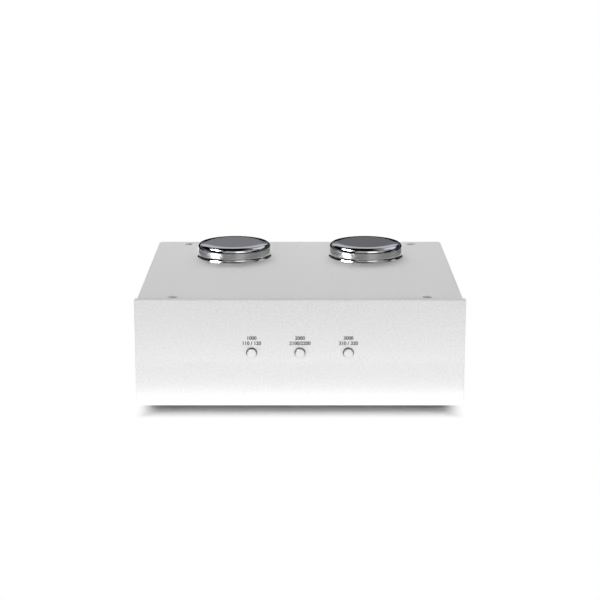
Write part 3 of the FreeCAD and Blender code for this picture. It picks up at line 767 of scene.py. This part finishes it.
def front_panel():
    """Thick plate whose three button holes open out behind a thin lip."""
    low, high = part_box("front_panel")
    centre = (low + high) / 2
    face = round_box(0, centre.z, high.x - low.x, high.z - low.z, PANEL_CORNER)
    walls = [[
        (face, -PANEL_CHAMFER, low.y), (face, 0, low.y + PANEL_CHAMFER),
        (face, 0, high.y - PANEL_CHAMFER), (face, -PANEL_CHAMFER, high.y),
    ]]
    for name in SWITCHES:
        hole = disc(middle(name + "_button").x, centre.z + HOLE_RAISED, BUTTON_HOLE)
        walls.append([
            (hole, HOLE_EDGE, low.y), (hole, 0, low.y + HOLE_EDGE), (hole, 0, low.y + HOLE_LIP),
            (hole, HOLE_RELIEF, low.y + HOLE_LIP + HOLE_RELIEF), (hole, HOLE_RELIEF, high.y),
        ])
    dress(walled("front_panel_plate", walls), "chassis", ["front_panel"], "panel")


def legend(name, text, x, z):
    """Plain lettering printed on the front panel."""
    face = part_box("front_panel")[0].y - LEGEND_LIFT
    curve = bpy.data.curves.new(name, "FONT")
    curve.body, curve.size, curve.offset = text, LEGEND_SIZE, LEGEND_WEIGHT
    curve.align_x, curve.align_y = "CENTER", "CENTER"
    letters = added(name, curve)
    flat = as_built(letters)
    bpy.data.objects.remove(letters)
    for vert in flat.vertices:
        vert.co = (x + vert.co.x, face, z + vert.co.y)
    dress(added(name, flat), "chassis", [], None, "legend")


def legends():
    """Two lines of plain numbers over each button."""
    for name, number, positions in LEGENDS:
        place = middle(name + "_button")
        rise = place.z + LEGEND_RISE
        legend(name + "_number", number, place.x, rise + LEGEND_PITCH)
        legend(name + "_positions", positions, place.x, rise)


def top_cover():
    """Sheet folded down at both sides, open under the caps, with its countersunk screws."""
    low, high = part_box("top_cover")
    inner = FOLD_RADIUS - SHEET
    sheet = drawn("top_cover_sheet", soften([
        (low.x, low.z, 0), (low.x, high.z, FOLD_RADIUS),
        (high.x, high.z, FOLD_RADIUS), (high.x, low.z, 0),
        (high.x - SHEET, low.z, 0), (high.x - SHEET, high.z - SHEET, inner),
        (low.x + SHEET, high.z - SHEET, inner), (low.x + SHEET, low.z, 0),
    ], 6), low.y, high.y)
    gap = Vector((CUTOUT_GAP, CUTOUT_GAP, 0))
    cutters = []
    for side, _ in SIDES:
        can_low, can_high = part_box(side + "_transformer_can")
        cutters.append(block("cutter", can_low - gap, can_high + gap))
    screws = rail_screws(("front_top", "rear_top"), high.z)
    cutters += [countersink(place) for _, *place in screws]
    dress(cut(sheet, cutters), "chassis", ["top_cover"], "cover")
    for name, *place in screws:
        countersunk("case_screw_" + name, place)


def base_plate():
    """Floor of the case, screwed to the lower rails from below."""
    low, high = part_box("base_plate")
    sheet = block("base_plate_sheet", low, high, bevel=EDGE)
    screws = rail_screws(("front_bottom", "rear_bottom"), low.z)
    cutters = [countersink(place, -1) for _, *place in screws]
    dress(cut(sheet, cutters), "chassis", ["base_plate"], "cover")
    for name, *place in screws:
        countersunk("base_screw_" + name, place, -1)


def feet():
    """Rubber feet with a rounded rim and a hollow for their screw."""
    low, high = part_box("feet")
    tall = high.z - low.z
    ceiling, mouth, hollow = FOOT_HOLLOW
    profile = soften([
        (0, hollow, 0), (ceiling, hollow, 0.3 * MM), (mouth, 0, 0.3 * MM),
        (FOOT_RADIUS - FOOT_TAPER, 0, 0.6 * MM), (FOOT_RADIUS, tall, 0.2 * MM), (0, tall, 0),
    ])
    for end, y in (("front", low.y + FOOT_RADIUS), ("rear", high.y - FOOT_RADIUS)):
        for side, way in SIDES:
            x = way * (high.x - FOOT_RADIUS)
            foot = turned(f"foot_{end}_{side}", profile, (x, y, low.z), steps=72)
            dress(foot, "chassis", ["feet"], "foot")
            pan_screw(f"foot_screw_{end}_{side}", (x, y, low.z + hollow), "Z", -1)


# Caps

def cap_ring(side):
    """Turned ring with a polished flare round its foot and a polished chamfer round its top."""
    low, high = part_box(side + "_cap_ring")
    centre = (low + high) / 2
    tall, bore, top = high.z - low.z, RING_RADIUS - RING_WALL, FOOT[0][0] * MM
    reach, foot = RING_RADIUS, [(bore, top), (RING_RADIUS, top)]
    for (above, _), (height, turn) in zip(FOOT, FOOT[1:]):
        reach += (above - height) * MM * math.tan(math.radians(turn))
        foot.append((reach, height * MM))
    foot += [(reach, 0), (bore, 0)]
    shoulder, narrow = tall - RING_EDGE_HIGH, RING_RADIUS - RING_EDGE_DEEP
    wall = [(bore, top), (RING_RADIUS, top), (RING_RADIUS, shoulder), (bore, shoulder)]
    edge = [(bore, shoulder), (RING_RADIUS, shoulder), (narrow, tall), (bore, tall)]
    place = (centre.x, centre.y, low.z)
    for end, profile, finish in (("bead", foot, "bead"), ("wall", wall, "ring"), ("edge", edge, "bead")):
        piece = turned(f"{side}_ring_{end}", profile, place, steps=CAP_STEPS, loop=True)
        dress(piece, "chassis", [side + "_cap_ring"], "ring", finish)


def cap_lid(side):
    """Polished lid whose top falls away gently to a rounded edge."""
    low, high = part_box(side + "_cap_lid")
    centre = (low + high) / 2
    radius, tall = (high.x - low.x) / 2, high.z - low.z
    round_steps, crown_steps = LID_STEPS
    crown = LID_CROWN * (1 - math.sin(LID_TURN))
    across = radius - LID_ROUND * math.cos(LID_START)
    up = tall - crown - LID_ROUND * math.sin(LID_TURN)
    profile = [(0, 0), (radius, 0)]
    for step in range(round_steps + 1):
        turn = LID_START + (LID_TURN - LID_START) * step / round_steps
        profile.append((across + LID_ROUND * math.cos(turn), up + LID_ROUND * math.sin(turn)))
    edge = profile[-1][0] - LID_CROWN * math.cos(LID_TURN)
    for step in range(1, crown_steps + 1):
        turn = LID_TURN + (math.pi / 2 - LID_TURN) * step / crown_steps
        profile.append((edge + LID_CROWN * math.cos(turn), tall - LID_CROWN * (1 - math.sin(turn))))
    profile.append((0, tall))
    place = (centre.x, centre.y, low.z)
    lid = turned(side + "_polished_lid", profile, place, steps=CAP_STEPS)
    dress(lid, "chassis", [side + "_cap_lid"], "lid")


# Controls

def push_button(name):
    """Round button with a soft edge and a thinner neck behind its face."""
    low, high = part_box(name + "_button")
    centre = (low + high) / 2
    radius, long = (high.x - low.x) / 2, high.y - low.y
    neck = radius - BUTTON_NECK
    profile = soften([
        (0, 0, 0), (radius, 0, BUTTON_EDGE), (radius, BUTTON_LIP, 0),
        (neck, BUTTON_LIP + BUTTON_NECK / 2, 0), (neck, long - BUTTON_NECK, 0),
        (radius, long - BUTTON_NECK / 2, 0), (radius, long, 0.2 * MM), (0, long, 0),
    ], 10)
    place = (centre.x, low.y, centre.z)
    button = turned(name + "_push_button", profile, place, "Y", steps=72)
    dress(button, name + "_push", [name + "_button"], "button")


# Rear

def rear_panel():
    """Plate between the cover's sides, with a cut-out for each socket."""
    low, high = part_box("rear_panel")
    face = round_box(0, (low.z + high.z) / 2, high.x - low.x, high.z - low.z, CORNER)
    wide, tall, square = (size + 2 * CUTOUT_GAP for size in (*HOUSING, PHONO_SIDE))
    holes = []
    for _, _, x, z in socket_places("balanced_input_shells"):
        holes.append(round_box(x, z, wide, tall, CORNER))
    for _, _, x, z in socket_places("phono_housings"):
        holes.append(round_box(x, z, square, square, PHONO_CORNER))
    post = middle("ground_post")
    holes.append(disc(post.x, post.z, POST_RADIUS + CUTOUT_GAP))
    panel = plate("rear_panel_plate", face, holes, low.y, high.y)
    dress(panel, "chassis", ["rear_panel"], "cover")
    for row in ("rear_top", "rear_bottom"):
        for side, way in SIDES:
            place = (way * REAR_SCREW_X, high.y, middle(row + "_rail").z)
            pan_screw(f"{row}_screw_{side}", place, "Y", 1)


def balanced_shell(side, use, x, z):
    """Flanged housing with a round cup, and the slot of a latch in the input's cup."""
    node = f"balanced_{use}_shells"
    low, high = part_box(node)
    flange_back = high.y - FLANGE_THICK
    flange = round_box(x, z, *FLANGE, FLANGE_CORNER)
    housing = round_box(x, z, *HOUSING, CORNER, steps=2)
    if use == "input":
        cup = notched_disc(x, z, CUP_RADIUS, LATCH_HALF, LATCH_TOP)
    else:
        cup = disc(x, z, CUP_RADIUS)
    shell = walled(f"{side}_{use}_shell", [
        [(flange, -0.5 * MM, high.y), (flange, -0.15 * MM, high.y - 0.12 * MM),
         (flange, 0, high.y - 0.5 * MM), (flange, 0, flange_back)],
        [(housing, 0, flange_back), (housing, 0, low.y)],
        [(cup, CUP_EDGE, high.y), (cup, 0, high.y - CUP_EDGE), (cup, 0, flange_back - CUP_DEPTH)],
    ])
    dress(shell, "chassis", [node], "shell")
    across, up = FLANGE_SCREW
    for end, way in (("lower", -1), ("upper", 1)):
        place = (x + way * across, high.y - FLANGE_SINK, z + way * up)
        name = f"{side}_{use}_flange_screw_{end}"
        pan_screw(name, place, "Y", 1, "black_plastic", "black_plastic")


def contact_places(x, z):
    """Centres of the three contacts of a balanced socket."""
    return [(x - CONTACT_OFFSET, z), (x + CONTACT_OFFSET, z), (x, z - CONTACT_OFFSET)]


def balanced_insert(side, x, z):
    """Insulating plug with three holes over its contacts."""
    low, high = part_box("balanced_input_inserts")
    holes = [disc(across, up, CONTACT_HOLE, 32) for across, up in contact_places(x, z)]
    face = disc(x, z, INSERT_RADIUS)
    name = f"{side}_input_insert"
    insert = plate(name, face, holes, low.y, high.y, chamfer=0.4 * MM, hole_chamfer=CUP_EDGE)
    dress(insert, "chassis", ["balanced_input_inserts"], "black_plastic")


def balanced_pins(side, x, z):
    """Three turned pins with round tips."""
    low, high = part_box("balanced_output_pins")
    long = high.y - low.y
    profile = soften([(0, 0, 0), (PIN_RADIUS, 0, 0), (PIN_RADIUS, long, PIN_ROUND), (0, long, 0)], 6)
    for number, (across, up) in enumerate(contact_places(x, z), start=1):
        pin = turned(f"{side}_output_pin_{number}", profile, (across, low.y, up), "Y", steps=32)
        dress(pin, "chassis", ["balanced_output_pins"], "contact")


def latch(side):
    """Rocking lever with a tab outside the flange and a bead that it rocks on."""
    low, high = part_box(side + "_latch")
    joint = next(item for item in frame["joints"] if item["name"] == side + "_latch_press")
    _, pivot, line = joint["pos_m"]
    arm, tab, bead = LATCH_ARM, LATCH_TAB, LATCH_BEAD
    catch, start, peak = low.y + LATCH_CATCH, high.y - FLANGE_THICK, LATCH_BEAD + LATCH_RISE
    outline = soften([
        (low.y, low.z, 0.3 * MM), (catch, low.z, 0.2 * MM), (catch, line - arm, 0.4 * MM),
        (pivot - bead, line - arm, 0.5 * MM), (pivot, line - peak, bead),
        (pivot + bead, line - arm, 0.5 * MM), (start, line - arm, 0),
        (start, line - tab, 0.2 * MM), (high.y, line - tab, 0.5 * MM),
        (high.y, line + tab, 0.5 * MM), (start, line + tab, 0.2 * MM), (start, line + arm, 0),
        (pivot + bead, line + arm, 0.5 * MM), (pivot, line + peak, bead),
        (pivot - bead, line + arm, 0.5 * MM), (low.y, line + arm, 0.3 * MM),
    ], 5)
    lever = drawn(side + "_latch_lever", outline, low.x, high.x, "X", bevel=0.12 * MM)
    dress(lever, side + "_latch", [side + "_latch"], "steel")


def phono_socket(side, use, x, z):
    """Black housing, gold barrel, coloured insulator and contact sleeve."""
    low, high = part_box("phono_housings")
    name = f"{side}_{use}_phono"
    square = round_box(x, z, PHONO_SIDE, PHONO_SIDE, CORNER)
    housing = plate(name + "_housing", square, [], low.y, high.y, chamfer=0.2 * MM)
    dress(housing, "chassis", ["phono_housings"], "black_plastic")
    insulator = "insulator" if side == "left" else "insulator_red"
    plug = BARREL_BORE - INSULATOR_GAP
    tubes = (
        ("barrel", BARREL_BORE, BARREL_RADIUS, (0.35, 0.25), 96, "contact", "contact"),
        ("insulator", SLEEVE_RADIUS + INSULATOR_GAP, plug, (0.15, 0.25), 96, insulator, "insulator"),
        ("sleeve", SLEEVE_BORE, SLEEVE_RADIUS, (0.1, 0.2), 48, "contact", "contact"),
    )
    for tube, bore, radius, (outside, inside), steps, finish, slot in tubes:
        node = "phono_contacts" if tube == "sleeve" else f"phono_{tube}s"
        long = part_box(node)[1].y - high.y
        profile = soften([
            (bore, 0, 0), (radius, 0, 0), (radius, long, outside * MM), (bore, long, inside * MM),
        ])
        piece = turned(f"{name}_{tube}", profile, (x, high.y, z), "Y", steps=steps, loop=True)
        dress(piece, "chassis", [node], slot, finish)


def sockets():
    """A row of balanced sockets over a row of phono sockets."""
    for side, use, x, z in socket_places("balanced_input_shells"):
        balanced_shell(side, use, x, z)
        if use == "input":
            balanced_insert(side, x, z)
        else:
            balanced_pins(side, x, z)
    for side, use, x, z in socket_places("phono_housings"):
        phono_socket(side, use, x, z)


# Ground terminal

def ground_place(node):
    """Length and size of a piece of the terminal, and the middle of its inner end."""
    low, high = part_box(node)
    return high.y - low.y, high - low, (middle(node).x, low.y, middle(node).z)


def ground_post():
    """Post with a hexagon head inside the case and a thread."""
    long, _, place = ground_place("ground_post")
    apothem, inside = POST_HEAD
    head = [
        (0, 0), (hexagon(apothem - 0.3 * MM), 0), (hexagon(apothem), 0.3 * MM),
        (hexagon(apothem), inside), (POST_RADIUS, inside),
    ]
    thread = []
    for turn in range(int((long - inside) / THREAD_PITCH)):
        start = inside + turn * THREAD_PITCH
        thread.append((POST_RADIUS, start + 0.15 * THREAD_PITCH))
        thread.append((POST_RADIUS - THREAD_DEPTH, start + 0.55 * THREAD_PITCH))
    tip = [(POST_RADIUS - 0.3 * MM, long - 0.05 * MM), (POST_RADIUS - 0.5 * MM, long), (0, long)]
    post = turned("ground_threaded_post", head + thread + tip, place, "Y", steps=72)
    dress(post, "chassis", ["ground_post"], "contact")


def ground_washer():
    """Loose washer between the rear panel and the knob."""
    thick, size, place = ground_place("ground_washer")
    bore, outer = POST_RADIUS + POST_GAP, size.x / 2
    ring = soften([(bore, 0, 0), (outer, 0, EDGE), (outer, thick, EDGE), (bore, thick, 0)])
    washer = turned("ground_loose_washer", ring, place, "Y", loop=True)
    dress(washer, "ground_washer", ["ground_washer"], "steel")


def ground_knob():
    """Knob with a knurled rim between two smooth ends."""
    long, size, place = ground_place("ground_knob")
    bore, outer = POST_RADIUS + POST_GAP, size.z / 2
    rim, smooth = ridged(outer, RIDGE_DEPTH, KNOB_RIDGES), outer - KNOB_STEP
    profile = [
        (bore, 0), (smooth - 0.3 * MM, 0), (smooth, 0.3 * MM), (smooth, 1.6 * MM),
        (rim, 1.75 * MM), (rim, long - 1.2 * MM), (smooth, long - 1.0 * MM),
        (smooth - 0.1 * MM, long - 0.35 * MM), (smooth - 0.45 * MM, long),
        (smooth - 2.0 * MM, long), (smooth - 2.2 * MM, long - 0.25 * MM),
        (0, long - 0.25 * MM), (0, long - 1.5 * MM), (bore, long - 1.5 * MM),
    ]
    knob = turned("ground_knurled_knob", profile, place, "Y", steps=240, loop=True)
    dress(knob, "ground_knob", ["ground_knob"], "knob")


def carried_over():
    """CAD nodes whose shape is right get the material of their slot."""
    for node in frame["nodes"].values():
        if not node.hide_render:
            slot = node.data.materials[0].name
            node.data.materials.clear()
            node.data.materials.append(look[slot])


# Studio

class Glow(Tree):
    """An emission material and the nodes that set its strength."""

    def __init__(self, name):
        self.material = bpy.data.materials.new(name)
        self.material.use_nodes = True
        self.material.cycles.emission_sampling = "NONE"
        super().__init__(self.material.node_tree)
        self.tree.nodes.clear()
        self.shader = self.node("ShaderNodeEmission")
        self.output = self.node("ShaderNodeOutputMaterial")
        self.join(self.shader.outputs["Emission"], self.output.inputs["Surface"])


class Cards(Glow):
    """An emission material whose brightness and colour follow the direction from the object."""

    def __init__(self, name):
        super().__init__(name)
        unit = self.node("ShaderNodeVectorMath", operation="NORMALIZE")
        self.join(self.here(), unit.inputs[0])
        right, self.back, up = self.parts(unit.outputs["Vector"])
        self.height = self.degrees(self.maths("ARCSINE", up))
        ahead = self.maths("MULTIPLY", self.back, -1.0)
        self.front = self.degrees(self.maths("ARCTAN2", right, ahead))
        self.behind = self.degrees(self.maths("ARCTAN2", right, self.back))

    def degrees(self, angle):
        return self.maths("MULTIPLY", angle, 180 / math.pi)

    def step(self, value, start, end):
        return self.spread(value, 0.0, 1.0, start, end, "SMOOTHSTEP")

    def window(self, value, low, high, first_edge, last_edge):
        """One between two angles and none outside them, with a soft edge at each."""
        rise = self.step(value, low - first_edge / 2, low + first_edge / 2)
        fall = self.step(value, high - last_edge / 2, high + last_edge / 2)
        return self.maths("MULTIPLY", rise, self.maths("SUBTRACT", 1.0, fall))

    def tint(self):
        """Plain white before the object and cooler behind it."""
        return self.ramp(self.back, grey(1.0), REAR_TINT, 0.0, 0.001, "CONSTANT")

    def light(self):
        """The brightness of all cards together."""
        total = None
        for turn, cards in ((self.front, FRONT_CARDS), (self.behind, REAR_CARDS)):
            for bright, left, right, low, high, sides, soft in cards:
                across = self.window(turn, left, right, *sides)
                area = self.maths("MULTIPLY", across, self.window(self.height, low, high, soft, soft))
                lit = self.maths("MULTIPLY", area, bright)
                total = lit if total is None else self.maths("ADD", total, lit)
        return self.maths("ADD", total, CARD_FLOOR)


def world():
    """White where the camera or a mirror sees it, and a faint light otherwise."""
    made = bpy.data.worlds.new("studio")
    bpy.context.scene.world = made
    made.use_nodes = True
    shading = Tree(made.node_tree)
    background = made.node_tree.nodes["Background"].inputs
    background["Color"].default_value = (1, 1, 1, 1)
    shading.join(shading.where_seen(AMBIENT, 1.0), background["Strength"])


def from_footprint(shading):
    """How far a place on the floor lies outside the rectangle that the object stands over."""
    place = shading.parts(shading.here())
    sizes = [shading.maths("ABSOLUTE", place[axis]) for axis in "XY"]
    outside = [shading.maths("SUBTRACT", size, half) for size, half in zip(sizes, FOOTPRINT)]
    return shading.maths("MAXIMUM", *outside)


def floor():
    """A pale floor that keeps the object's shadow and turns into the white background away from it."""
    ways = ((-1, -1), (1, -1), (1, 1), (-1, 1))
    plane = four_corners("floor", [(x * FLOOR_REACH, y * FLOOR_REACH, 0) for x, y in ways])
    white = Glow("pale_floor")
    white.join(white.where_seen(0.0, 1.0), white.shader.inputs["Strength"])
    near = white.node("ShaderNodeBsdfDiffuse")
    white.join(white.where_seen(FLOOR_TONE, FLOOR_SEEN), near.inputs["Color"])
    away = white.spread(from_footprint(white), 0.0, 1.0, *FLOOR_FADE, "SMOOTHSTEP")
    blend = white.node("ShaderNodeMixShader")
    white.join(white.maths("MULTIPLY", away, white.where_seen(0.0, 1.0)), blend.inputs["Fac"])
    white.join(near.outputs["BSDF"], blend.inputs[1])
    white.join(white.shader.outputs["Emission"], blend.inputs[2])
    white.join(blend.outputs["Shader"], white.output.inputs["Surface"])
    plane.data.materials.append(white.material)


def only_mirrored(piece, material):
    """Makes a stage piece that neither the camera nor plain light sees."""
    piece.data.materials.append(material)
    for ray in ("camera", "diffuse", "transmission", "volume_scatter", "shadow"):
        setattr(piece, "visible_" + ray, False)


def studio_cards():
    """A wide ball of bright and dark cards, and a low dark flag behind the object."""
    shape = bmesh.new()
    bmesh.ops.create_icosphere(shape, subdivisions=4, radius=CARDS_RADIUS)
    ball = bpy.data.meshes.new("studio_cards")
    shape.to_mesh(ball)
    shape.free()
    cards = Cards("studio_cards")
    cards.join(cards.light(), cards.shader.inputs["Strength"])
    cards.join(cards.tint(), cards.shader.inputs["Color"])
    only_mirrored(added("studio_cards", ball), cards.material)
    half, behind, tall = FLAG
    corners = [(-half, behind, 0), (half, behind, 0), (half, behind, tall), (-half, behind, tall)]
    dark = Glow("dark_flag")
    dark.shader.inputs["Strength"].default_value = CARD_FLOOR
    only_mirrored(four_corners("dark_flag", corners), dark.material)


def lamps():
    """Wide lamps that light the object but show in no mirror."""
    for name, place, aim, wide, tall, power in LAMPS:
        light = bpy.data.lights.new(name, "AREA")
        light.shape = "RECTANGLE"
        light.size, light.size_y, light.energy = wide, tall, power
        lamp = added(name, light)
        lamp.location = place
        lamp.rotation_euler = (Vector(aim) - Vector(place)).to_track_quat("-Z", "Y").to_euler()
        lamp.visible_glossy = False
        lamp.visible_camera = False


def camera():
    """A camera before and above the upper edge of the front panel."""
    low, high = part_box("front_panel")
    data = bpy.data.cameras.new("camera")
    data.lens, data.sensor_width = CAMERA_LENS, SENSOR_WIDTH
    view = added("camera", data)
    view.location = (0, low.y - CAMERA_AHEAD, high.z + CAMERA_ABOVE)
    view.rotation_euler = (math.pi / 2 - CAMERA_PITCH, 0, 0)
    bpy.context.scene.camera = view
    bpy.context.scene.view_settings.view_transform = "Standard"


front_panel()
legends()
top_cover()
base_plate()
feet()
for side, _ in SIDES:
    cap_ring(side)
    cap_lid(side)
    latch(side)
for name in SWITCHES:
    push_button(name)
rear_panel()
sockets()
ground_post()
ground_washer()
ground_knob()
carried_over()

world()
floor()
studio_cards()
lamps()
camera()
